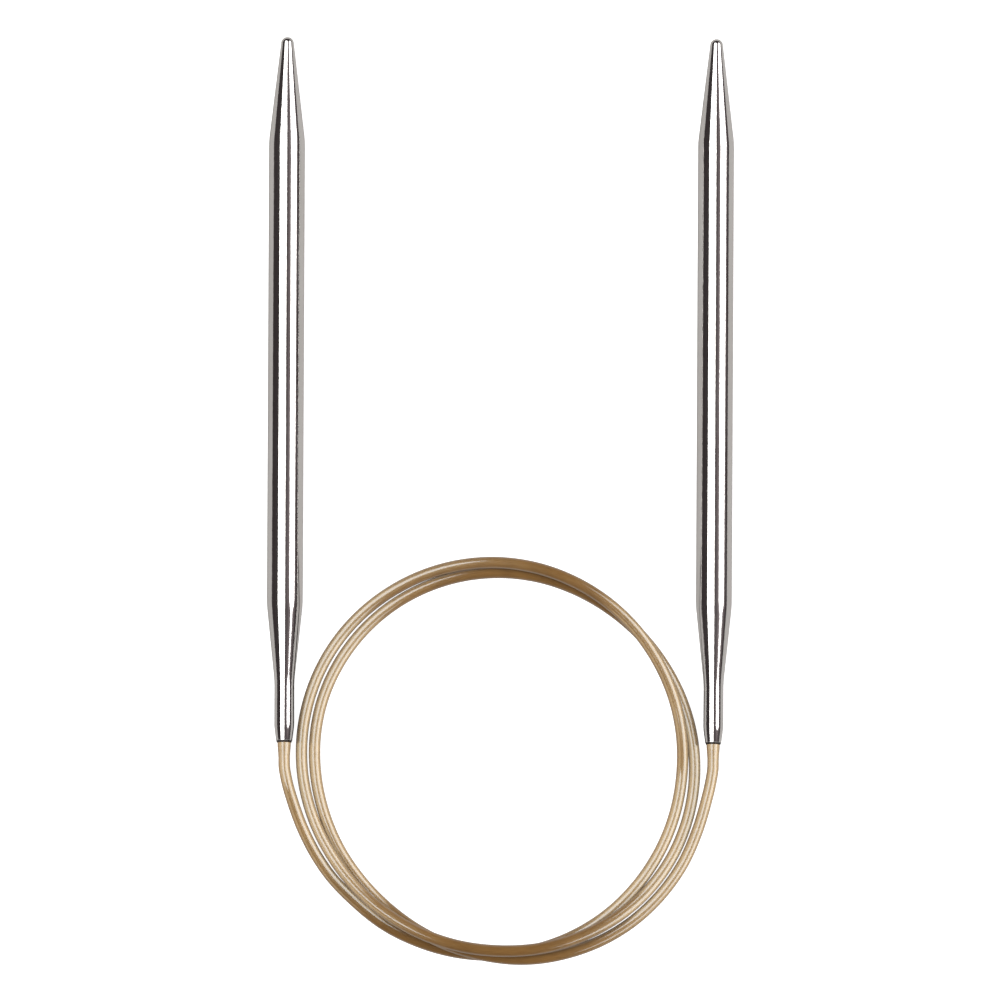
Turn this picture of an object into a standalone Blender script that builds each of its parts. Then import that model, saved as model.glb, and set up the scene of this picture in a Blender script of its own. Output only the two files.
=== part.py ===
"""Circular knitting needle: two hollow metal needles on the ends of one coiled nylon cord.

The needles lie side by side on a flat surface at z = 0, tips towards +Y. The cord leaves
the rear mouth of the left needle, makes two and a half turns and ends in the right needle.
The cord is one piece on the real object. Here it is cut into short solids, so that each
needle can swing sideways and lift on its own stretch of bending cord: three small bends in
each direction, which together make one even bend.
Lengths are in metres. The origin is midway between the needles, on the surface.
"""
import math

import bpy
from mathutils import Matrix, Vector

MM = 0.001

# Driving dimensions: needles
NEEDLE_LENGTH = 127.0 * MM
NEEDLE_RADIUS = 3.25 * MM
NEEDLE_SPACING = 77.4 * MM          # between the two needles' axes
TIP_RADIUS = 1.15 * MM              # where the blunt dome meets the cone
TIP_DOME_LENGTH = 1.1 * MM
TIP_CONE_LENGTH = 17.6 * MM
REAR_TAPER_LENGTH = 13.9 * MM
NECK_LENGTH = 8.6 * MM
NECK_RADIUS = 1.8 * MM
LIP_LENGTH = 2.2 * MM
LIP_RADIUS = 1.45 * MM
NECK_BORE_RADIUS = 1.25 * MM
TUBE_WALL = 0.5 * MM
TIP_WALL = 2.4 * MM                 # solid metal left at the end of the tip
NEEDLE_SIDES = 32

# Driving dimensions: cord and its end fittings
CORD_RADIUS = 1.05 * MM
ANCHOR_HEAD_RADIUS = 1.9 * MM
ANCHOR_HEAD_LENGTH = 1.5 * MM
COLLAR_LENGTH = 3.0 * MM
COLLAR_MOUTH_RADIUS = 1.38 * MM
SEAL_THICKNESS = 0.22 * MM
SEAL_OUTER_RADIUS = 1.42 * MM
SEAL_INNER_RADIUS = 0.9 * MM
FERRULE_LENGTH = 7.6 * MM
FERRULE_BORE_RADIUS = 1.2 * MM
FERRULE_WALL_GAP = 0.25 * MM        # radial play between the ferrule and the tube's taper
GAP = 0.3 * MM                      # between solids that meet face to face
SEAL_GAP = 0.1 * MM
FITTING_SIDES = 24

# Driving dimensions: the bending stretches, measured along the cord from the collar's end.
# The bends that lift the needle come first, then a short link, then those that swing it.
BENDS = 3                           # in each direction
BEND_LENGTH = 3.6 * MM
LINK_LENGTH = 1.4 * MM

# Driving dimensions: coil
COIL_CENTRE = (-0.1 * MM, -66.2 * MM)
COIL_INNER_RADIUS = 31.8 * MM
COIL_OUTER_RADIUS = 35.4 * MM
COIL_HEIGHT = 4.2 * MM
COIL_EDGE = 1.05 * MM               # rounding of the coil's upper edges
COIL_FOOT_EDGE = 0.4 * MM
COIL_SIDES = 72

REAR_Y = -NEEDLE_LENGTH / 2
AXIS_HEIGHT = NEEDLE_RADIUS
CORD_POINT_SPACING = 3.0 * MM
CURVE_STEPS = 24                    # points worked out between two of a route's points

# The uncoiled cord on each side, in millimetres, from the collar's end to the coil.
# Each side starts straight behind its needle and sinks from the needle's axis to the surface.
LEFT_ROUTE_MM = (
    (-38.70, -66.5, 3.25),
    (-38.57, -68.8, 3.23),
    (-37.60, -72.9, 3.08),
    (-35.41, -79.1, 2.45),
    (-32.41, -84.9, 1.65),
    (-28.46, -90.0, 1.20),
)
RIGHT_ROUTE_MM = (
    (38.70, -66.5, 3.25),
    (38.60, -68.8, 3.23),
    (37.77, -73.0, 3.08),
    (35.99, -79.3, 2.45),
    (33.33, -85.5, 1.75),
    (29.50, -91.0, 1.40),
    (24.60, -95.7, 1.50),
    (18.96, -99.2, 2.00),
    (12.74, -101.5, 2.60),
    (6.30, -102.6, 3.10),
)


def clear_scene():
    for obj in list(bpy.data.objects):
        bpy.data.objects.remove(obj, do_unlink=True)


def new_collection(name):
    collection = bpy.data.collections.new(name)
    bpy.context.scene.collection.children.link(collection)
    return collection


def new_material(name, colour, roughness, metallic):
    material = bpy.data.materials.new(name)
    material.use_nodes = True
    shader = material.node_tree.nodes["Principled BSDF"]
    shader.inputs["Base Color"].default_value = (*colour, 1.0)
    shader.inputs["Roughness"].default_value = roughness
    shader.inputs["Metallic"].default_value = metallic
    material.diffuse_color = (*colour, 1.0)
    return material


def new_pivot(name, location, collection):
    pivot = bpy.data.objects.new(name, None)
    pivot.empty_display_size = 4 * MM
    pivot.location = location
    collection.objects.link(pivot)
    return pivot


def attach(obj, pivot, pivot_world):
    """Parent obj to a pivot that is only moved, never turned, and leave obj where it is."""
    obj.parent = pivot
    obj.matrix_parent_inverse = Matrix.Translation(pivot_world).inverted()


def turned(name, profile, closed, sides, material, collection):
    """A turned body about the object's own Z axis. profile holds (radius, height) pairs,
    down the outer side first. A closed profile is a loop that stays clear of the axis."""
    edges = [(i, i + 1) for i in range(len(profile) - 1)]
    if closed:
        edges.append((len(profile) - 1, 0))
    mesh = bpy.data.meshes.new(name)
    mesh.from_pydata([(radius, 0, height) for radius, height in profile], edges, [])
    obj = bpy.data.objects.new(name, mesh)
    collection.objects.link(obj)
    screw = obj.modifiers.new("turn", "SCREW")
    screw.axis = "Z"
    screw.angle = math.tau
    screw.steps = sides
    screw.render_steps = sides
    screw.use_merge_vertices = True
    screw.merge_threshold = 0.001 * MM
    screw.use_smooth_shade = True
    obj.data.materials.append(material)
    return obj


def along_needle(obj, side):
    """Lay a turned body along the needle, with its z = 0 at the rear mouth, tip towards +Y."""
    obj.location = (side * NEEDLE_SPACING / 2, REAR_Y, AXIS_HEIGHT)
    obj.rotation_euler = (-math.pi / 2, 0, 0)


def arc(centre, radius, start_deg, end_deg, steps):
    """Points of an arc in the (radius, height) plane, angles from the radius direction."""
    points = []
    for i in range(steps + 1):
        angle = math.radians(start_deg + (end_deg - start_deg) * i / steps)
        points.append((centre[0] + radius * math.cos(angle), centre[1] + radius * math.sin(angle)))
    return points


def dome(radius, height, base, steps):
    """Half an ellipse from the axis down to its base."""
    points = []
    for i in range(steps + 1):
        angle = math.pi / 2 * (1 - i / steps)
        points.append((radius * math.cos(angle), base + height * math.sin(angle)))
    return points


def taper_inner_radius(height):
    """Inner radius of the rear taper: the bore opens up to the thin wall of the shaft."""
    start = LIP_LENGTH + NECK_LENGTH
    share = (height - start) / REAR_TAPER_LENGTH
    inner = NEEDLE_RADIUS - TUBE_WALL
    return NECK_BORE_RADIUS + (inner - NECK_BORE_RADIUS) * min(max(share, 0), 1)


def make_needle_tube(prefix, side, material, collection):
    """Closed blunt tip, straight shaft, swaged rear taper and neck, bore open at the mouth."""
    neck_top = LIP_LENGTH + NECK_LENGTH
    taper_top = neck_top + REAR_TAPER_LENGTH
    dome_base = NEEDLE_LENGTH - TIP_DOME_LENGTH
    cone_base = dome_base - TIP_CONE_LENGTH
    bore_top = NEEDLE_LENGTH - TIP_WALL
    inner = NEEDLE_RADIUS - TUBE_WALL
    outer_side = dome(TIP_RADIUS, TIP_DOME_LENGTH, dome_base, 6)
    outer_side += [
        (NEEDLE_RADIUS, cone_base),
        (NEEDLE_RADIUS, taper_top),
        (NECK_RADIUS, neck_top),
        (NECK_RADIUS, LIP_LENGTH),
        (LIP_RADIUS, 0),
    ]
    bore_tip = TIP_RADIUS * 0.5
    inner_side = [
        (NECK_BORE_RADIUS, 0),
        (NECK_BORE_RADIUS, neck_top),
        (inner, taper_top),
        (inner, cone_base),
        (bore_tip, bore_top),
        (0, bore_top),
    ]
    profile = outer_side + inner_side
    tube = turned(prefix + "_needle_tube", profile, False, NEEDLE_SIDES, material, collection)
    along_needle(tube, side)
    return tube


def make_cord_anchor(prefix, side, material, collection):
    """The cord's end inside the neck, with the upset head that the ferrule holds back."""
    shank_top = LIP_LENGTH + NECK_LENGTH + REAR_TAPER_LENGTH
    head_top = shank_top + ANCHOR_HEAD_LENGTH
    profile = [
        (0, head_top),
        (ANCHOR_HEAD_RADIUS * 0.8, head_top),
        (ANCHOR_HEAD_RADIUS, head_top - ANCHOR_HEAD_LENGTH * 0.4),
        (ANCHOR_HEAD_RADIUS, shank_top),
        (CORD_RADIUS, shank_top),
        (CORD_RADIUS, 0),
        (0, 0),
    ]
    anchor = turned(prefix + "_cord_anchor", profile, False, FITTING_SIDES, material, collection)
    along_needle(anchor, side)
    return anchor


def make_crimp_ferrule(prefix, side, material, collection):
    """A tapered sleeve round the cord's end, wedged in the rear taper behind the neck."""
    top = LIP_LENGTH + NECK_LENGTH + REAR_TAPER_LENGTH - GAP
    base = top - FERRULE_LENGTH
    top_radius = taper_inner_radius(top) - FERRULE_WALL_GAP
    base_radius = taper_inner_radius(base) - FERRULE_WALL_GAP
    profile = [
        (top_radius, top),
        (base_radius, base),
        (FERRULE_BORE_RADIUS, base),
        (FERRULE_BORE_RADIUS, top),
    ]
    ferrule = turned(prefix + "_crimp_ferrule", profile, True, FITTING_SIDES, material, collection)
    along_needle(ferrule, side)
    return ferrule


def make_seal_ring(prefix, side, material, collection):
    """The thin dark ring between the metal mouth and the cord's collar."""
    top = -SEAL_GAP
    base = top - SEAL_THICKNESS
    profile = [
        (SEAL_OUTER_RADIUS, top),
        (SEAL_OUTER_RADIUS, base),
        (SEAL_INNER_RADIUS, base),
        (SEAL_INNER_RADIUS, top),
    ]
    ring = turned(prefix + "_seal_ring", profile, True, FITTING_SIDES, material, collection)
    along_needle(ring, side)
    return ring


def make_cord_collar(prefix, side, material, collection):
    """The flared root of the cord, which eases from the mouth down to the cord's size."""
    top = -2 * SEAL_GAP - SEAL_THICKNESS
    base = -COLLAR_LENGTH
    steps = 6
    profile = [(0, top)]
    for i in range(steps + 1):
        share = i / steps
        ease = (1 + math.cos(math.pi * share)) / 2
        radius = CORD_RADIUS + (COLLAR_MOUTH_RADIUS - CORD_RADIUS) * ease
        profile.append((radius, top + (base - top) * share))
    profile.append((0, base))
    collar = turned(prefix + "_cord_collar", profile, False, FITTING_SIDES, material, collection)
    along_needle(collar, side)
    return collar


def smooth_route(points_mm):
    """A dense smooth curve (Catmull-Rom) through a route's points, in metres."""
    points = [Vector(point) * MM for point in points_mm]
    first = points[0] * 2 - points[1]
    last = points[-1] * 2 - points[-2]
    padded = [first] + points + [last]
    curve = []
    for i in range(1, len(padded) - 2):
        before, start, end, after = padded[i - 1:i + 3]
        for step in range(CURVE_STEPS):
            t = step / CURVE_STEPS
            curve.append(0.5 * (2 * start + (end - before) * t
                                + (2 * before - 5 * start + 4 * end - after) * t ** 2
                                + (3 * start - before - 3 * end + after) * t ** 3))
    curve.append(points[-1])
    return curve


def route_length(curve):
    return sum((b - a).length for a, b in zip(curve, curve[1:]))


def point_at(curve, distance):
    """The point a given distance along a curve."""
    travelled = 0.0
    for a, b in zip(curve, curve[1:]):
        step = (b - a).length
        if travelled + step >= distance:
            return a.lerp(b, (distance - travelled) / step)
        travelled += step
    return curve[-1]


def stretch(curve, start, end):
    """Evenly spaced points from one distance along the curve to another."""
    count = max(2, math.ceil((end - start) / CORD_POINT_SPACING))
    return [point_at(curve, start + (end - start) * i / count) for i in range(count + 1)]


def make_cord_tube(name, points, material, collection):
    """A plain round stretch of cord through the given points."""
    data = bpy.data.curves.new(name, "CURVE")
    data.dimensions = "3D"
    data.bevel_depth = CORD_RADIUS
    data.bevel_resolution = 2
    data.use_fill_caps = True
    spline = data.splines.new("POLY")
    spline.points.add(len(points) - 1)
    for spline_point, point in zip(spline.points, points):
        spline_point.co = (*point, 1.0)
    obj = bpy.data.objects.new(name, data)
    obj.data.materials.append(material)
    collection.objects.link(obj)
    return obj


def make_cord_coil(material, collection):
    """The two and a half turns as one ring with a flat foot and rounded upper edges."""
    upper = COIL_HEIGHT - COIL_EDGE
    profile = arc((COIL_OUTER_RADIUS - COIL_EDGE, upper), COIL_EDGE, 90, 0, 3)
    profile += [
        (COIL_OUTER_RADIUS, COIL_FOOT_EDGE),
        (COIL_OUTER_RADIUS - COIL_FOOT_EDGE, 0),
        (COIL_INNER_RADIUS + COIL_FOOT_EDGE, 0),
        (COIL_INNER_RADIUS, COIL_FOOT_EDGE),
    ]
    profile += arc((COIL_INNER_RADIUS + COIL_EDGE, upper), COIL_EDGE, 180, 90, 3)
    coil = turned("cord_coil", profile, True, COIL_SIDES, material, collection)
    coil.location = (*COIL_CENTRE, 0)
    return coil


def make_bends(prefix, kind, far_end, route, pivot, material, collection):
    """A row of short bending stretches, counted from the coil's end. Each turns about its own
    middle, and everything nearer the needle turns with it. pivot is (object, point) or None."""
    for number in range(1, BENDS + 1):
        start = far_end - number * BEND_LENGTH
        points = stretch(route, start + GAP, start + BEND_LENGTH - GAP)
        tube = make_cord_tube(f"{prefix}_cord_{kind}_bend_{number}", points, material, collection)
        point = point_at(route, start + BEND_LENGTH / 2)
        hinge = new_pivot(f"{prefix}_{kind}_pivot_{number}", point, collection)
        if pivot:
            attach(tube, *pivot)
            attach(hinge, *pivot)
        pivot = (hinge, point)
    return pivot


def make_side(prefix, side, route_mm, materials, collection):
    """One needle with its fittings, its bending stretches of cord and its lead."""
    route = smooth_route(route_mm)
    cord = materials["cord"]
    link_start = BENDS * BEND_LENGTH
    swing_start = link_start + LINK_LENGTH
    lead_start = swing_start + BENDS * BEND_LENGTH

    lead = stretch(route, lead_start, route_length(route))
    make_cord_tube(prefix + "_cord_lead", lead, cord, collection)
    pivot = make_bends(prefix, "swing", lead_start, route, None, cord, collection)
    link = stretch(route, link_start, swing_start)
    attach(make_cord_tube(prefix + "_cord_link", link, cord, collection), *pivot)
    pivot = make_bends(prefix, "lift", link_start, route, pivot, cord, collection)

    rigid = [
        make_needle_tube(prefix, side, materials["plated_metal"], collection),
        make_crimp_ferrule(prefix, side, materials["ferrule_brass"], collection),
        make_cord_anchor(prefix, side, cord, collection),
        make_seal_ring(prefix, side, materials["seal"], collection),
        make_cord_collar(prefix, side, cord, collection),
    ]
    for obj in rigid:
        attach(obj, *pivot)


def main():
    clear_scene()
    collection = new_collection("circular_knitting_needle")
    materials = {
        "plated_metal": new_material("plated_metal", (0.78, 0.77, 0.75), 0.12, 1.0),
        "ferrule_brass": new_material("ferrule_brass", (0.72, 0.55, 0.27), 0.35, 1.0),
        "seal": new_material("seal", (0.06, 0.05, 0.04), 0.55, 0.0),
        "cord": new_material("cord", (0.62, 0.45, 0.24), 0.30, 0.0),
    }
    make_side("left", -1, LEFT_ROUTE_MM, materials, collection)
    make_side("right", 1, RIGHT_ROUTE_MM, materials, collection)
    make_cord_coil(materials["cord"], collection)


main()
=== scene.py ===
import math

import bpy
import numpy as np
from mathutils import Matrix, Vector


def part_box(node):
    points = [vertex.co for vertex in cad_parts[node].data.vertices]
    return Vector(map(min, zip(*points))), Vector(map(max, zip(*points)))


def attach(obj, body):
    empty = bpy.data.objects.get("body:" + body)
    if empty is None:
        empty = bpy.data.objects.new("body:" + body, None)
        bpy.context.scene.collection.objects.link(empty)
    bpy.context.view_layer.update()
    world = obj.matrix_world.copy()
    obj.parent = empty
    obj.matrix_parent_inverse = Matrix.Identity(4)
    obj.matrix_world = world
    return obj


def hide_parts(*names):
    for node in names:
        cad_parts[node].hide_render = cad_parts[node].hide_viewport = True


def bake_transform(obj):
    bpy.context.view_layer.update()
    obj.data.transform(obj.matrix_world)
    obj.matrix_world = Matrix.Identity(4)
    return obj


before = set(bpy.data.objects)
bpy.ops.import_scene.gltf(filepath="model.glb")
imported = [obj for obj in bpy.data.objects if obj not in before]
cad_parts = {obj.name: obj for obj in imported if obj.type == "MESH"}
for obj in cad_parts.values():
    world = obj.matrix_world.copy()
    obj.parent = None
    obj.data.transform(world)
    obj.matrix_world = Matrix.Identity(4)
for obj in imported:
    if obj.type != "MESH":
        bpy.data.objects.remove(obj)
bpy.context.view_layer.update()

MM = 0.001
SIDES = ("left", "right")

# ---------------------------------------------------------------- cord: sizes and route
# Each uncoiled stretch runs from a needle's mouth to the coil. First comes the moulded collar,
# then three short bends that lift the needle, a link, and three bends that swing it. The routes
# and these lengths are the CAD model's. Distances run along the cord from the collar's end.
CORD_RADIUS = 1.05 * MM
CORD_SIDES = 24
CORD_RING_SPACING = 0.75 * MM
BEND_RING_SPACING = 0.3 * MM
BENDS = 3
BEND_LENGTH = 3.6 * MM
LINK_LENGTH = 1.4 * MM
LIFT_LENGTH = BENDS * BEND_LENGTH
SWING_START = LIFT_LENGTH + LINK_LENGTH
FLEX_LENGTH = SWING_START + BENDS * BEND_LENGTH
CURVE_STEPS = 16
LEFT_ROUTE = (
    (-0.03870, -0.0665, 0.00325),
    (-0.03857, -0.0688, 0.00323),
    (-0.03760, -0.0729, 0.00308),
    (-0.03541, -0.0791, 0.00245),
    (-0.03241, -0.0849, 0.00165),
    (-0.02846, -0.0900, 0.00120),
)
RIGHT_ROUTE = (
    (0.03870, -0.0665, 0.00325),
    (0.03860, -0.0688, 0.00323),
    (0.03777, -0.0730, 0.00308),
    (0.03599, -0.0793, 0.00245),
    (0.03333, -0.0855, 0.00175),
    (0.02950, -0.0910, 0.00140),
    (0.02460, -0.0957, 0.00150),
    (0.01896, -0.0992, 0.00200),
    (0.01274, -0.1015, 0.00260),
    (0.00630, -0.1026, 0.00310),
)

# The coil: two and a half turns anticlockwise, as radius and height over the turned angle.
# Angle 0 is at the left needle's mouth. The first turn lies on the surface and climbs over
# the second at the far side. At the near side the second turn crosses on top of the others.
COIL_CENTRE = (-0.1 * MM, -66.2 * MM)
COIL_STEP_DEG = 12
COIL_FIRST_DEG = 54
COIL_LAST_DEG = 810
COIL_RADIUS_MM = (
    (40, 37.1), (60, 36.6), (90, 35.9), (120, 34.95), (150, 33.9), (180, 33.35), (205, 33.53),
    (235, 34.17), (270, 35.05), (300, 35.5), (330, 35.75), (360, 35.54), (395, 34.85),
    (425, 34.6), (445, 34.72), (470, 35.5), (505, 36.35), (522, 36.1), (540, 35.5), (575, 34.0),
    (605, 33.3), (640, 33.25), (680, 33.32), (700, 33.33), (735, 33.07), (760, 33.38),
    (775, 33.9), (795, 35.1), (820, 36.9),
)
COIL_HEIGHT_MM = (
    (40, 1.2), (60, 1.07), (150, 1.07), (170, 1.3), (190, 2.6), (220, 3.3), (250, 3.0),
    (280, 2.0), (310, 1.12), (330, 1.07), (362, 1.07), (380, 1.9), (392, 2.6), (405, 3.45),
    (415, 4.1), (430, 5.0), (445, 5.3), (460, 4.75), (480, 3.4), (500, 1.85), (518, 1.09),
    (535, 1.07), (760, 1.07), (775, 1.45), (790, 2.8), (803, 3.3), (820, 3.1),
)


def smooth_value(stations, x):
    """A smooth value between stations (angle, value), flat at each local high and low."""
    angles = [station[0] for station in stations]
    values = [station[1] for station in stations]
    slopes = [(values[i + 1] - values[i]) / (angles[i + 1] - angles[i])
              for i in range(len(values) - 1)]
    index = min(max(sum(angle <= x for angle in angles) - 1, 0), len(slopes) - 1)

    def tangent(i):
        if i == 0 or i == len(slopes):
            return slopes[min(i, len(slopes) - 1)]
        before, after = slopes[i - 1], slopes[i]
        return 2 * before * after / (before + after) if before * after > 0 else 0.0

    width = angles[index + 1] - angles[index]
    t = min(max((x - angles[index]) / width, 0), 1)
    start, end = values[index], values[index + 1]
    return (start * (2 * t ** 3 - 3 * t ** 2 + 1) + end * (3 * t ** 2 - 2 * t ** 3)
            + width * (tangent(index) * (t ** 3 - 2 * t ** 2 + t)
                       + tangent(index + 1) * (t ** 3 - t ** 2)))


def coil_points():
    """The coil's turns, worked out from its radius and height over the turned angle."""
    points = []
    for turned in range(COIL_FIRST_DEG, COIL_LAST_DEG + 1, COIL_STEP_DEG):
        angle = math.radians(180 + turned)
        radius = smooth_value(COIL_RADIUS_MM, turned) * MM
        height = smooth_value(COIL_HEIGHT_MM, turned) * MM
        points.append((COIL_CENTRE[0] + radius * math.cos(angle),
                       COIL_CENTRE[1] + radius * math.sin(angle), height))
    return points


def smooth_curve(route):
    """A dense smooth curve (Catmull-Rom) through the route's points."""
    points = [np.array(point) for point in route]
    padded = [2 * points[0] - points[1]] + points + [2 * points[-1] - points[-2]]
    curve = []
    for i in range(1, len(padded) - 2):
        before, start, end, after = padded[i - 1:i + 3]
        for step in range(CURVE_STEPS):
            t = step / CURVE_STEPS
            curve.append(0.5 * (2 * start + (end - before) * t
                                + (2 * before - 5 * start + 4 * end - after) * t ** 2
                                + (3 * start - before - 3 * end + after) * t ** 3))
    curve.append(points[-1])
    return np.array(curve)


class Centreline:
    """The cord's whole line, with a frame that doesn't twist carried along it."""

    def __init__(self, route):
        self.points = smooth_curve(route)
        steps = np.linalg.norm(np.diff(self.points, axis=0), axis=1)
        self.distance = np.concatenate([[0.0], np.cumsum(steps)])
        self.length = float(self.distance[-1])
        tangents = np.gradient(self.points, self.distance, axis=0)
        self.tangents = tangents / np.linalg.norm(tangents, axis=1)[:, None]
        side = np.cross(self.tangents[0], (0.0, 0.0, 1.0))
        sides = []
        for tangent in self.tangents:
            side = side - tangent * side.dot(tangent)
            side = side / np.linalg.norm(side)
            sides.append(side)
        self.sides = np.array(sides)

    def sample(self, values, distances):
        columns = [np.interp(distances, self.distance, values[:, i]) for i in range(3)]
        return np.stack(columns, axis=1)


cord_line = Centreline([*LEFT_ROUTE, *coil_points(), *reversed(RIGHT_ROUTE)])


# ---------------------------------------------------------------- mesh helpers
CORD_SHARP_DEG = 50
LATHE_SHARP_DEG = 35
FILLET_STEPS = 10
ON_AXIS = 1e-9


def new_object(name, mesh, material, body=None, replaced=()):
    """An object for a mesh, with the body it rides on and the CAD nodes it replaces."""
    obj = bpy.data.objects.new(name, mesh)
    bpy.context.scene.collection.objects.link(obj)
    mesh.materials.append(material)
    if body:
        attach(obj, body)
    if replaced:
        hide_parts(*replaced)
    return obj


def sweep_mesh(name, centres, tangents, sides, radii, section_sides, lengthwise):
    """A closed tube: one ring of points for each centre, with round flat caps.
    UV: u goes round the section and v along the tube, in metres."""
    angles = np.linspace(0, math.tau, section_sides, endpoint=False)
    ups = np.cross(tangents, sides)
    verts = []
    for centre, side, up, radius in zip(centres, sides, ups, radii):
        for angle in angles:
            verts.append(centre + radius * (math.cos(angle) * side + math.sin(angle) * up))
    faces = []
    uvs = []
    rings = len(centres)
    for ring in range(rings - 1):
        for i in range(section_sides):
            j = (i + 1) % section_sides
            a, b = ring * section_sides, (ring + 1) * section_sides
            faces.append((a + i, a + j, b + j, b + i))
            low, high = i / section_sides, (i + 1) / section_sides
            near, far = lengthwise[ring], lengthwise[ring + 1]
            uvs += [(low, near), (high, near), (high, far), (low, far)]
    first = tuple(reversed(range(section_sides)))
    last = tuple((rings - 1) * section_sides + i for i in range(section_sides))
    for cap, along in ((first, lengthwise[0]), (last, lengthwise[-1])):
        faces.append(cap)
        uvs += [(i / section_sides, along) for i in range(section_sides)]
    mesh = bpy.data.meshes.new(name)
    mesh.from_pydata([tuple(v) for v in verts], [], faces)
    layer = mesh.uv_layers.new(name="UVMap")
    layer.data.foreach_set("uv", np.array(uvs, np.float32).ravel())
    mesh.shade_smooth()
    mesh.set_sharp_from_angle(angle=math.radians(CORD_SHARP_DEG))
    mesh.update()
    return mesh


def cord_piece(name, start, end, spacing, material):
    """A stretch of the cord as a closed tube. Returns the piece and its rings' centres."""
    ring_count = max(2, math.ceil((end - start) / spacing)) + 1
    along = np.linspace(start, end, ring_count)
    centres = cord_line.sample(cord_line.points, along)
    tangents = cord_line.sample(cord_line.tangents, along)
    tangents /= np.linalg.norm(tangents, axis=1)[:, None]
    sides = cord_line.sample(cord_line.sides, along)
    sides -= tangents * np.sum(sides * tangents, axis=1)[:, None]
    sides /= np.linalg.norm(sides, axis=1)[:, None]
    radii = np.full(len(along), CORD_RADIUS)
    mesh = sweep_mesh(name, centres, tangents, sides, radii, CORD_SIDES, along)
    return new_object(name, mesh, material), centres


def lathe_mesh(name, profile, origin, segments):
    """A turned body along +Y from origin, its axis parallel to Y. profile holds (radius, along)
    points down the outer side; a point at radius 0 closes the body on the axis."""
    verts = []
    rings = []
    for radius, along in profile:
        if radius < ON_AXIS:
            rings.append([len(verts)])
            verts.append((origin[0], origin[1] + along, origin[2]))
            continue
        ring = []
        for i in range(segments):
            angle = math.tau * i / segments
            ring.append(len(verts))
            verts.append((origin[0] + radius * math.cos(angle), origin[1] + along,
                          origin[2] + radius * math.sin(angle)))
        rings.append(ring)
    if len(rings[0]) > 1:
        rings.append(rings[0])
        profile = list(profile) + [profile[0]]
    faces = []
    uvs = []
    travelled = 0.0
    for (r0, h0), (r1, h1), near, far in zip(profile, profile[1:], rings, rings[1:]):
        step = math.hypot(r1 - r0, h1 - h0)
        for i in range(segments):
            j = (i + 1) % segments
            low, high = i / segments, (i + 1) / segments
            if len(near) == 1:
                faces.append((near[0], far[j], far[i]))
                uvs += [(low, travelled), (high, travelled + step), (low, travelled + step)]
            elif len(far) == 1:
                faces.append((near[i], near[j], far[0]))
                uvs += [(low, travelled), (high, travelled), (low, travelled + step)]
            else:
                faces.append((near[i], near[j], far[j], far[i]))
                uvs += [(low, travelled), (high, travelled), (high, travelled + step),
                        (low, travelled + step)]
        travelled += step
    mesh = bpy.data.meshes.new(name)
    mesh.from_pydata(verts, [], faces)
    layer = mesh.uv_layers.new(name="UVMap")
    layer.data.foreach_set("uv", np.array(uvs, np.float32).ravel())
    mesh.shade_smooth()
    mesh.set_sharp_from_angle(angle=math.radians(LATHE_SHARP_DEG))
    mesh.update()
    return mesh


def fillet(corner, before, after, length):
    """Round one corner of a profile: a smooth curve that leaves each side length before it."""
    corner, before, after = Vector(corner), Vector(before), Vector(after)
    start = corner + (before - corner).normalized() * length
    end = corner + (after - corner).normalized() * length
    points = []
    for i in range(FILLET_STEPS + 1):
        t = i / FILLET_STEPS
        point = start * (1 - t) ** 2 + corner * 2 * t * (1 - t) + end * t ** 2
        points.append((point.x, point.y))
    return points


def rounded(corners):
    """A profile from corners (radius, along, fillet length). The two ends stay sharp."""
    points = []
    for i, (radius, along, length) in enumerate(corners):
        if length == 0 or i in (0, len(corners) - 1):
            points.append((radius, along))
            continue
        points += fillet((radius, along), corners[i - 1][:2], corners[i + 1][:2], length)
    return points


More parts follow.
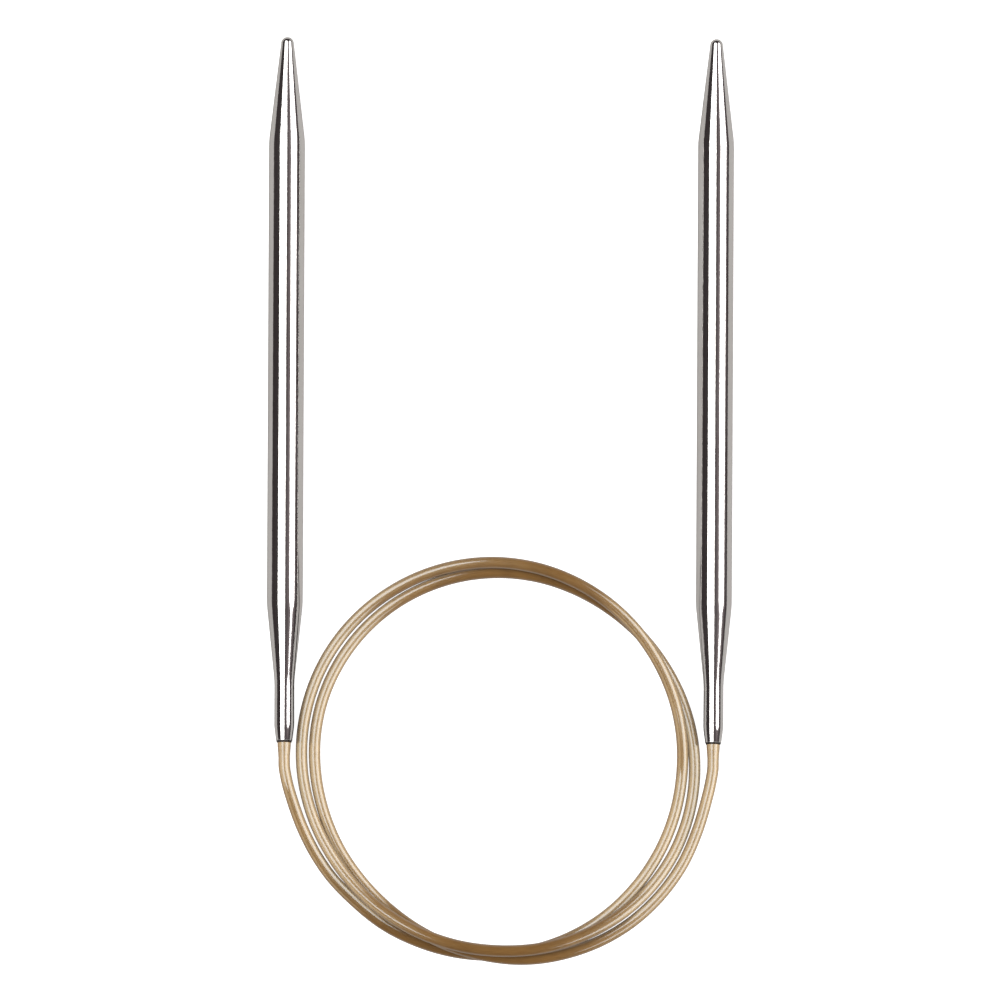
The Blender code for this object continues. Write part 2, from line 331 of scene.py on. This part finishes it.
# ---------------------------------------------------------------- materials
class Nodes:
    """A new material, and short calls that add nodes to its tree."""

    def __init__(self, name):
        self.material = bpy.data.materials.new(name)
        self.material.use_nodes = True
        self.tree = self.material.node_tree
        self.shader = self.tree.nodes["Principled BSDF"]

    def node(self, kind, **settings):
        node = self.tree.nodes.new(kind)
        for key, value in settings.items():
            setattr(node, key, value)
        return node

    def link(self, output, target):
        self.tree.links.new(output, target)

    def mapped(self, scale, coordinates="Object"):
        source = self.node("ShaderNodeTexCoord")
        mapping = self.node("ShaderNodeMapping")
        mapping.inputs["Scale"].default_value = scale
        self.link(source.outputs[coordinates], mapping.inputs["Vector"])
        return mapping.outputs["Vector"]

    def noise(self, vector, scale, detail=3.0, rough=0.5):
        node = self.node("ShaderNodeTexNoise")
        node.inputs["Scale"].default_value = scale
        node.inputs["Detail"].default_value = detail
        node.inputs["Roughness"].default_value = rough
        self.link(vector, node.inputs["Vector"])
        return node.outputs["Fac"]

    def ranged(self, value, low, high, from_low=0.3, from_high=0.7):
        node = self.node("ShaderNodeMapRange")
        node.inputs["From Min"].default_value = from_low
        node.inputs["From Max"].default_value = from_high
        node.inputs["To Min"].default_value = low
        node.inputs["To Max"].default_value = high
        self.link(value, node.inputs["Value"])
        return node.outputs["Result"]

    def math(self, operation, first, second):
        node = self.node("ShaderNodeMath", operation=operation)
        for socket, value in zip(node.inputs, (first, second)):
            if isinstance(value, (int, float)):
                socket.default_value = value
            else:
                self.link(value, socket)
        return node.outputs["Value"]

    def mixed(self, factor, first, second):
        node = self.node("ShaderNodeMix", data_type="RGBA")
        self.link(factor, node.inputs[0])
        for socket, value in ((node.inputs[6], first), (node.inputs[7], second)):
            if isinstance(value, tuple):
                socket.default_value = (*value, 1.0)
            else:
                self.link(value, socket)
        return node.outputs[2]

    def bump(self, height, strength, distance, normal=None):
        node = self.node("ShaderNodeBump")
        node.inputs["Strength"].default_value = strength
        node.inputs["Distance"].default_value = distance
        self.link(height, node.inputs["Height"])
        if normal is not None:
            self.link(normal, node.inputs["Normal"])
        return node.outputs["Normal"]

    def set(self, **values):
        for name, value in values.items():
            self.shader.inputs[name.replace("_", " ")].default_value = value


# Colours, and the depths of the fine reliefs. A noise's scale times its mapping is its detail per
# metre. On the cord's UV map it is the detail once round the cord, and per metre along it.
PLATE_DARK = (0.70, 0.685, 0.665)
PLATE_LIGHT = (0.76, 0.75, 0.735)
PLATE_GRAIN = (0.62, 0.60, 0.58)
NYLON_IOR = 2.15
NYLON_ROUGH = 0.34
NYLON_COAT_IOR = 1.7
NYLON_COAT_ROUGH = 0.06
NYLON_SHINE = (1.0, 0.85, 0.56, 1.0)
NYLON_DARK = (0.115, 0.051, 0.013)
NYLON_LIGHT = (0.150, 0.069, 0.018)
NYLON_STREAK = (0.22, 0.120, 0.036)
# The seal's near-black tones are partly painted shade: the ring fills the shadowed gap at the
# mouth.
SEAL_AND_GAP_SHADE_DARK = (0.010, 0.008, 0.007)
SEAL_AND_GAP_SHADE_LIGHT = (0.024, 0.017, 0.012)
BRASS_DARK = (0.60, 0.42, 0.17)
BRASS_LIGHT = (0.74, 0.56, 0.27)
FLOOR_DARK = (0.48, 0.48, 0.48)
FLOOR_LIGHT = (0.52, 0.52, 0.52)
FLOOR_IN_METAL = (0.40, 0.39, 0.38)
FLOOR_GLOW = 0.92
EVEN = (1.0, 1.0, 1.0)
FINE_BUMP = 0.01 * MM
GRAIN_BUMP = 0.02 * MM
FIBRE_BUMP = 0.03 * MM


def plated_metal():
    """Polished nickel plating: nearly a mirror, with drawn lines, fine grain and light wear."""
    n = Nodes("plated_metal")
    n.set(Metallic=1.0)
    drawn = n.noise(n.mapped((1.0, 0.03, 1.0)), 7000, detail=3)
    grain = n.noise(n.mapped((1.0, 0.7, 1.0)), 5200, detail=3, rough=0.6)
    cloud = n.noise(n.mapped((1.0, 0.35, 1.0)), 160, detail=3)
    tone = n.mixed(n.ranged(cloud, 0.0, 1.0), PLATE_DARK, PLATE_LIGHT)
    tone = n.mixed(n.ranged(grain, 0.0, 0.35), tone, PLATE_GRAIN)
    n.link(tone, n.shader.inputs["Base Color"])
    rough = n.math("ADD", n.ranged(cloud, 0.045, 0.085), n.ranged(drawn, 0.0, 0.05))
    n.link(rough, n.shader.inputs["Roughness"])
    normal = n.bump(grain, 0.22, GRAIN_BUMP)
    normal = n.bump(drawn, 0.03, FINE_BUMP, normal)
    n.link(normal, n.shader.inputs["Normal"])
    return n.material


def nylon_cord():
    """Gold-tan nylon: deep and glossy, with highlights drawn out round the cord."""
    n = Nodes("nylon_cord")
    n.set(Metallic=0.08, IOR=NYLON_IOR, Specular_IOR_Level=0.5, Anisotropic=1.0, Coat_Weight=1.0,
          Coat_Roughness=NYLON_COAT_ROUGH, Coat_IOR=NYLON_COAT_IOR, Specular_Tint=NYLON_SHINE)
    fibres = n.noise(n.mapped((60.0, 500.0, 1.0), "UV"), 1.0, detail=3)
    patches = n.noise(n.mapped(EVEN), 220, detail=2)
    grain = n.noise(n.mapped(EVEN), 4200, detail=2)
    tone = n.mixed(n.ranged(patches, 0.0, 1.0), NYLON_DARK, NYLON_LIGHT)
    tone = n.mixed(n.ranged(fibres, 0.0, 0.4), tone, NYLON_STREAK)
    n.link(tone, n.shader.inputs["Base Color"])
    fibre_rough = n.ranged(fibres, NYLON_ROUGH, NYLON_ROUGH + 0.04)
    rough = n.math("ADD", fibre_rough, n.ranged(grain, 0.0, 0.03))
    n.link(rough, n.shader.inputs["Roughness"])
    normal = n.bump(fibres, 0.05, FIBRE_BUMP)
    normal = n.bump(grain, 0.03, GRAIN_BUMP, normal)
    n.link(normal, n.shader.inputs["Normal"])
    tangent = n.node("ShaderNodeTangent", direction_type="UV_MAP", uv_map="UVMap")
    n.link(tangent.outputs["Tangent"], n.shader.inputs["Tangent"])
    return n.material


def seal_and_gap_shade():
    """A near-black ring at the needle's mouth, dull with a fine grain: partly a rubber seal,
    partly painted shade that fills the shadowed gap between the lip and the collar.
    """
    n = Nodes("seal_and_gap_shade")
    n.set(Metallic=0.0)
    grain = n.noise(n.mapped(EVEN), 3000, detail=3)
    tone = n.mixed(n.ranged(grain, 0.0, 1.0), SEAL_AND_GAP_SHADE_DARK, SEAL_AND_GAP_SHADE_LIGHT)
    n.link(tone, n.shader.inputs["Base Color"])
    n.link(n.ranged(grain, 0.35, 0.6), n.shader.inputs["Roughness"])
    n.link(n.bump(grain, 0.2, GRAIN_BUMP), n.shader.inputs["Normal"])
    return n.material


def turned_brass():
    """Plain turned brass with fine rings from the lathe."""
    n = Nodes("turned_brass")
    n.set(Metallic=1.0)
    rings = n.noise(n.mapped((0.02, 1.0, 0.02)), 5000, detail=2)
    cloud = n.noise(n.mapped(EVEN), 900, detail=3)
    tone = n.mixed(n.ranged(cloud, 0.0, 1.0), BRASS_DARK, BRASS_LIGHT)
    n.link(tone, n.shader.inputs["Base Color"])
    n.link(n.ranged(rings, 0.25, 0.42), n.shader.inputs["Roughness"])
    n.link(n.bump(rings, 0.25, GRAIN_BUMP), n.shader.inputs["Normal"])
    return n.material


def pale_floor():
    """White paper. It shows white to the camera and grey in the metal, as a lit sweep does."""
    n = Nodes("pale_floor")
    n.set(Roughness=0.9, Specular_IOR_Level=0.1, Emission_Color=(1, 1, 1, 1))
    cloud = n.noise(n.mapped(EVEN), 6, detail=2)
    seen = n.mixed(n.ranged(cloud, 0.0, 1.0), FLOOR_DARK, FLOOR_LIGHT)
    from_camera = n.node("ShaderNodeLightPath").outputs["Is Camera Ray"]
    n.link(n.mixed(from_camera, FLOOR_IN_METAL, seen), n.shader.inputs["Base Color"])
    n.link(n.math("MULTIPLY", from_camera, FLOOR_GLOW), n.shader.inputs["Emission Strength"])
    return n.material


METAL = plated_metal()
NYLON = nylon_cord()
SEAL_AND_GAP_SHADE = seal_and_gap_shade()
BRASS = turned_brass()


# ---------------------------------------------------------------- camera, floor and softboxes
CAD_NEEDLES = {side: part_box(side + "_needle_tube") for side in SIDES}
AXIS_HEIGHT = (CAD_NEEDLES["left"][0].z + CAD_NEEDLES["left"][1].z) / 2
VIEW_WIDTH = 180.4 * MM
VIEW_CENTRE = (0.04 * MM, -19.84 * MM)
VIEW_ROLL_DEG = 0.277
CAMERA_LENS = 200.0
CAMERA_SENSOR = 36.0
FLOOR_HALF_WIDTH = 3.0
LIGHT_DISTANCE = 1.6
METAL_RADIANCE = 4.0
GLOW_RADIANCE = 0.10
HALO_RADIANCE = 0.07
BEHIND_RADIANCE = 1.1
CORD_LEFT_RADIANCE = 4.8
CORD_RIGHT_RADIANCE = 4.4
CORD_SIDE_RADIANCE = 2.0
WHITE = (1, 1, 1)
COOL_WHITE = (0.90, 1.0, 1.10)
WARM_WHITE = (1.0, 0.88, 0.64)
DUSK = (1.0, 0.84, 0.88)
ROOM_COLOUR = (1.0, 0.82, 0.85, 1)
ROOM_LIGHT = 0.05


def add_camera():
    """A long lens straight above, so that the lengths show as they are."""
    data = bpy.data.cameras.new("camera")
    data.lens = CAMERA_LENS
    data.sensor_width = CAMERA_SENSOR
    data.clip_start = 0.05
    data.clip_end = 20.0
    camera = bpy.data.objects.new("camera", data)
    distance = VIEW_WIDTH * CAMERA_LENS / CAMERA_SENSOR
    camera.location = (*VIEW_CENTRE, AXIS_HEIGHT + distance)
    camera.rotation_euler = (0, 0, math.radians(VIEW_ROLL_DEG))
    bpy.context.scene.collection.objects.link(camera)
    bpy.context.scene.camera = camera


def direction(across_deg, up_deg):
    """A direction that leans from overhead by across_deg to +X, and by up_deg to +Y."""
    across, up = math.radians(across_deg), math.radians(up_deg)
    overhead = math.cos(up)
    return Vector((math.sin(across) * overhead, math.sin(up), math.cos(across) * overhead))


def add_softboxes(boxes, receivers):
    """Evenly bright softboxes that light only the objects in receivers. Each box has a name, its
    direction's lean across and up, its width and height as seen from the object (all in
    degrees), its radiance, its shape and its colour."""
    for name, across, up, width_deg, height_deg, radiance, shape, colour in boxes:
        add_softbox(name, direction(across, up), width_deg, height_deg, radiance, shape,
                    receivers, colour)


def add_softbox(name, towards, width_deg, height_deg, radiance, shape, receivers, colour):
    data = bpy.data.lights.new(name, "AREA")
    data.shape = shape
    data.size = 2 * LIGHT_DISTANCE * math.tan(math.radians(width_deg / 2))
    data.size_y = 2 * LIGHT_DISTANCE * math.tan(math.radians(height_deg / 2))
    area = data.size * data.size_y * (math.pi / 4 if shape == "ELLIPSE" else 1)
    data.energy = radiance * math.pi * area
    data.color = colour
    light = bpy.data.objects.new(name, data)
    light.location = towards * LIGHT_DISTANCE
    light.rotation_euler = Vector((0, 0, 1)).rotation_difference(towards).to_euler()
    bpy.context.scene.collection.objects.link(light)
    light.light_linking.receiver_collection = receivers


def receiver_group(name, members):
    """A collection of the objects that a set of softboxes lights."""
    group = bpy.data.collections.new(name)
    for member in members:
        group.objects.link(member)
    return group


def add_floor():
    mesh = bpy.data.meshes.new("floor")
    half = FLOOR_HALF_WIDTH
    corners = [(-half, -half, 0), (half, -half, 0), (half, half, 0), (-half, half, 0)]
    mesh.from_pydata(corners, [], [(0, 1, 2, 3)])
    floor = new_object("floor", mesh, pale_floor())
    return floor


def add_room():
    """A dim, faintly pink room, which shows as plain white to the camera."""
    world = bpy.data.worlds.new("studio")
    bpy.context.scene.world = world
    world.use_nodes = True
    tree = world.node_tree
    background = tree.nodes["Background"]
    from_camera = tree.nodes.new("ShaderNodeLightPath").outputs["Is Camera Ray"]
    tint = tree.nodes.new("ShaderNodeMix")
    tint.data_type = "RGBA"
    tint.inputs[6].default_value = ROOM_COLOUR
    tint.inputs[7].default_value = (1, 1, 1, 1)
    strength = tree.nodes.new("ShaderNodeMix")
    strength.inputs[2].default_value = ROOM_LIGHT
    strength.inputs[3].default_value = 1.0
    tree.links.new(from_camera, tint.inputs[0])
    tree.links.new(tint.outputs[2], background.inputs["Color"])
    tree.links.new(from_camera, strength.inputs[0])
    tree.links.new(strength.outputs[0], background.inputs["Strength"])


# A long softbox on the left and a round one on the right give the metal its bands. Two dim, wide
# ones soften the dark between them.
METAL_BOXES = (
    ("metal_left", -21.2, 0, 42.6, 80, METAL_RADIANCE, "RECTANGLE", WHITE),
    ("metal_right", 48.5, 12, 38, 53, METAL_RADIANCE, "ELLIPSE", WHITE),
    ("metal_glow", 45, 10, 60, 64, GLOW_RADIANCE, "ELLIPSE", DUSK),
    ("metal_halo", 38, 5, 80, 70, HALO_RADIANCE, "RECTANGLE", DUSK),
)
# One low, wide softbox beyond the coil. The needles show it when seen from their tips' side.
BEHIND_BOXES = (
    ("metal_behind", 0, -62, 104, 34, BEHIND_RADIANCE, "RECTANGLE", WHITE),
)
# Two cool softboxes above the cord and two dim warm ones low at its sides, which gild its edges.
# They leave a gap overhead, so that a stretch of cord across stays dark.
CORD_BOXES = (
    ("cord_left", -28, 12, 36, 56, CORD_LEFT_RADIANCE, "RECTANGLE", COOL_WHITE),
    ("cord_right", 46, 0, 46, 80, CORD_RIGHT_RADIANCE, "RECTANGLE", COOL_WHITE),
    ("cord_side_left", -74, 0, 56, 100, CORD_SIDE_RADIANCE, "RECTANGLE", WARM_WHITE),
    ("cord_side_right", 76, 0, 52, 100, CORD_SIDE_RADIANCE, "RECTANGLE", WARM_WHITE),
)

add_camera()
FLOOR = add_floor()
add_room()
bpy.context.scene.view_settings.view_transform = "Standard"


# ---------------------------------------------------------------- cord
def flex_piece(side, name, near, far):
    """A stretch of one side's cord, by its distances from the needle's collar. Returns the
    piece, and the points at its near and its far end."""
    span = (near, far) if side == "left" else (cord_line.length - far, cord_line.length - near)
    piece, centres = cord_piece(f"{side}_{name}", *span, BEND_RING_SPACING, NYLON)
    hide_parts(f"{side}_cord_{name}")
    ends = [tuple(centres[0]), tuple(centres[-1])]
    return piece, ends if side == "left" else ends[::-1]


def build_flex(side):
    """The bending stretches between the coil's lead and the needle, counted from the coil."""
    link, _ = flex_piece(side, "link", LIFT_LENGTH, SWING_START)
    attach(link, side + "_link")
    pieces = [link]
    for kind, far_end, first_body in (("swing", FLEX_LENGTH, 0), ("lift", LIFT_LENGTH, BENDS)):
        for number in range(1, BENDS + 1):
            near = far_end - number * BEND_LENGTH
            bend, ends = flex_piece(side, f"{kind}_bend_{number}", near, near + BEND_LENGTH)
            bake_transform(bend)
            pieces.append(bend)
    return pieces


def build_cord():
    """The coil with its leads, which is one free cord, and the bending stretches on its ends."""
    attached = build_flex("left") + build_flex("right")
    start, end = FLEX_LENGTH, cord_line.length - FLEX_LENGTH
    cord, centres = cord_piece("nylon_cord", start, end, CORD_RING_SPACING, NYLON)
    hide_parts("cord_coil", "left_cord_lead", "right_cord_lead")
    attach(cord, "cord")
    return [cord, *attached]


cord_pieces = build_cord()
needles = []
metal_pieces = []


# ---------------------------------------------------------------- needles and fittings
# Each needle is a turned shell, sized from its CAD node's box. Lengths along it are from its
# mouth, and the collar and the seal are placed from there too.
NEEDLE_SEGMENTS = 128
FITTING_SEGMENTS = 48
DOME_STEPS = 14
EDGE_STEPS = 5
EASING_STEPS = 16
SEAL_STEPS = 12
TIP_RADIUS = 1.15 * MM
TIP_DOME_LENGTH = 1.1 * MM
TIP_CONE_LENGTH = 17.6 * MM
REAR_TAPER_LENGTH = 13.9 * MM
NECK_LENGTH = 8.6 * MM
NECK_RADIUS = 1.8 * MM
LIP_LENGTH = 2.2 * MM
LIP_RADIUS = 1.45 * MM
NECK_BORE_RADIUS = 1.25 * MM
TUBE_WALL = 0.5 * MM
TIP_WALL = 2.4 * MM
TIP_BORE_SHARE = 0.5
TIP_FILLET = 1.1 * MM
SHOULDER_FILLET = 1.3 * MM
LIP_FILLET = 0.7 * MM
MOUTH_FILLET = 0.08 * MM
MOUTH_BORE_FILLET = 0.04 * MM
BORE_FILLET = 0.5 * MM
TIP_BORE_FILLET = 0.2 * MM
COLLAR_LENGTH = 3.0 * MM
COLLAR_RADIUS = 1.21 * MM
COLLAR_TOP = -0.24 * MM
COLLAR_EDGE = 0.12 * MM
SEAL_RADIUS = 1.22 * MM
SEAL_WIDE = 0.18 * MM
SEAL_THICK = 0.15 * MM
SEAL_CENTRE = -0.13 * MM
MOUTH_LEAN = 0.18
MOUTH_LEAN_LENGTH = 3.5 * MM
VISIBLE_LIP_LENGTH = 2.6 * MM


def needle_profile(length, radius):
    """Down the outside from the tip's dome to the mouth, and back up the bore."""
    neck_top = LIP_LENGTH + NECK_LENGTH
    taper_top = neck_top + REAR_TAPER_LENGTH
    dome_base = length - TIP_DOME_LENGTH
    cone_base = dome_base - TIP_CONE_LENGTH
    dome = []
    for i in range(DOME_STEPS + 1):
        angle = math.pi / 2 * (1 - i / DOME_STEPS)
        along = dome_base + TIP_DOME_LENGTH * math.sin(angle)
        dome.append((TIP_RADIUS * math.cos(angle), along))
    inner = radius - TUBE_WALL
    bore_top = length - TIP_WALL
    corners = [
        (TIP_RADIUS, dome_base, 0),
        (radius, cone_base, TIP_FILLET),
        (radius, taper_top, SHOULDER_FILLET),
        (NECK_RADIUS, neck_top, SHOULDER_FILLET),
        (NECK_RADIUS, VISIBLE_LIP_LENGTH, LIP_FILLET),
        (LIP_RADIUS, 0, MOUTH_FILLET),
        (NECK_BORE_RADIUS, 0, MOUTH_BORE_FILLET),
        (NECK_BORE_RADIUS, neck_top, BORE_FILLET),
        (inner, taper_top, BORE_FILLET),
        (inner, cone_base, BORE_FILLET),
        (TIP_RADIUS * TIP_BORE_SHARE, bore_top, TIP_BORE_FILLET),
        (0, bore_top, 0),
    ]
    return dome + rounded(corners)[1:]


def lean(mesh, origin, reach):
    """Lean a piece back a little at the mouth, so that the rim is seen as a shallow arch from
    above. It fades out over reach, ahead of the mouth, or behind it where reach is below 0."""
    for vertex in mesh.vertices:
        share = 1 - min(max((vertex.co.y - origin[1]) / reach, 0), 1)
        vertex.co.y += MOUTH_LEAN * share * (vertex.co.z - origin[2])
    mesh.update()


def mouth_origin(side):
    """The middle of a needle's mouth."""
    low, high = CAD_NEEDLES[side]
    return ((low.x + high.x) / 2, low.y, AXIS_HEIGHT)


def turned_piece(side, kind, profile, segments, reach, material, cad_node):
    """A turned piece at one needle's mouth, leaning with it, which rides with that needle."""
    name = side + kind
    origin = mouth_origin(side)
    mesh = lathe_mesh(name, profile, origin, segments)
    lean(mesh, origin, reach)
    return new_object(name, mesh, material, side + "_needle", (side + cad_node,))


def build_needle(side):
    low, high = CAD_NEEDLES[side]
    profile = needle_profile(high.y - low.y, (high.x - low.x) / 2)
    return turned_piece(side, "_needle", profile, NEEDLE_SEGMENTS, MOUTH_LEAN_LENGTH,
                        METAL, "_needle_tube")


def build_collar(side):
    """The cord's moulded end: a small shoulder under the seal, easing to the cord's own size."""
    profile = [(0, COLLAR_TOP)]
    edge_foot = COLLAR_TOP - COLLAR_EDGE
    for i in range(EDGE_STEPS + 1):
        angle = math.pi / 2 * (1 - i / EDGE_STEPS)
        profile.append((COLLAR_RADIUS - COLLAR_EDGE + COLLAR_EDGE * math.cos(angle),
                        edge_foot + COLLAR_EDGE * math.sin(angle)))
    easing = COLLAR_LENGTH + edge_foot
    for i in range(1, EASING_STEPS + 1):
        share = i / EASING_STEPS
        wider = (COLLAR_RADIUS - CORD_RADIUS) * (1 + math.cos(math.pi * share)) / 2
        profile.append((CORD_RADIUS + wider, edge_foot - easing * share))
    profile.append((0, -COLLAR_LENGTH))
    return turned_piece(side, "_collar", profile, FITTING_SEGMENTS, -COLLAR_LENGTH,
                        NYLON, "_cord_collar")


def build_seal_and_gap_shade(side):
    """A ring with an oval section between the lip and the collar: partly a rubber seal, partly
    painted shade of the gap there.
    """
    profile = []
    for i in range(SEAL_STEPS):
        angle = math.pi / 2 - math.tau * i / SEAL_STEPS
        profile.append((SEAL_RADIUS + SEAL_WIDE * math.cos(angle),
                        SEAL_CENTRE + SEAL_THICK * math.sin(angle)))
    return turned_piece(side, "_seal", profile, FITTING_SEGMENTS, -COLLAR_LENGTH,
                        SEAL_AND_GAP_SHADE, "_seal_ring")


def dress_cad_node(name, material):
    """Give a CAD node that stays in the visual model a better material."""
    cad_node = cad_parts[name]
    cad_node.data.materials.clear()
    cad_node.data.materials.append(material)
    return cad_node


for side in SIDES:
    needles.append(build_needle(side))
    metal_pieces += [needles[-1], build_seal_and_gap_shade(side)]
    cord_pieces.append(build_collar(side))
    metal_pieces.append(dress_cad_node(side + "_crimp_ferrule", BRASS))
    metal_pieces.append(dress_cad_node(side + "_cord_anchor", NYLON))


# ---------------------------------------------------------------- lights
# The cord doesn't show in the metal, and the metal's lights don't reach the cord.
for piece in cord_pieces:
    piece.visible_glossy = False
add_softboxes(METAL_BOXES, receiver_group("metal_lit", [FLOOR, *metal_pieces]))
add_softboxes(BEHIND_BOXES, receiver_group("needles_lit", needles))
add_softboxes(CORD_BOXES, receiver_group("cord_lit", cord_pieces))
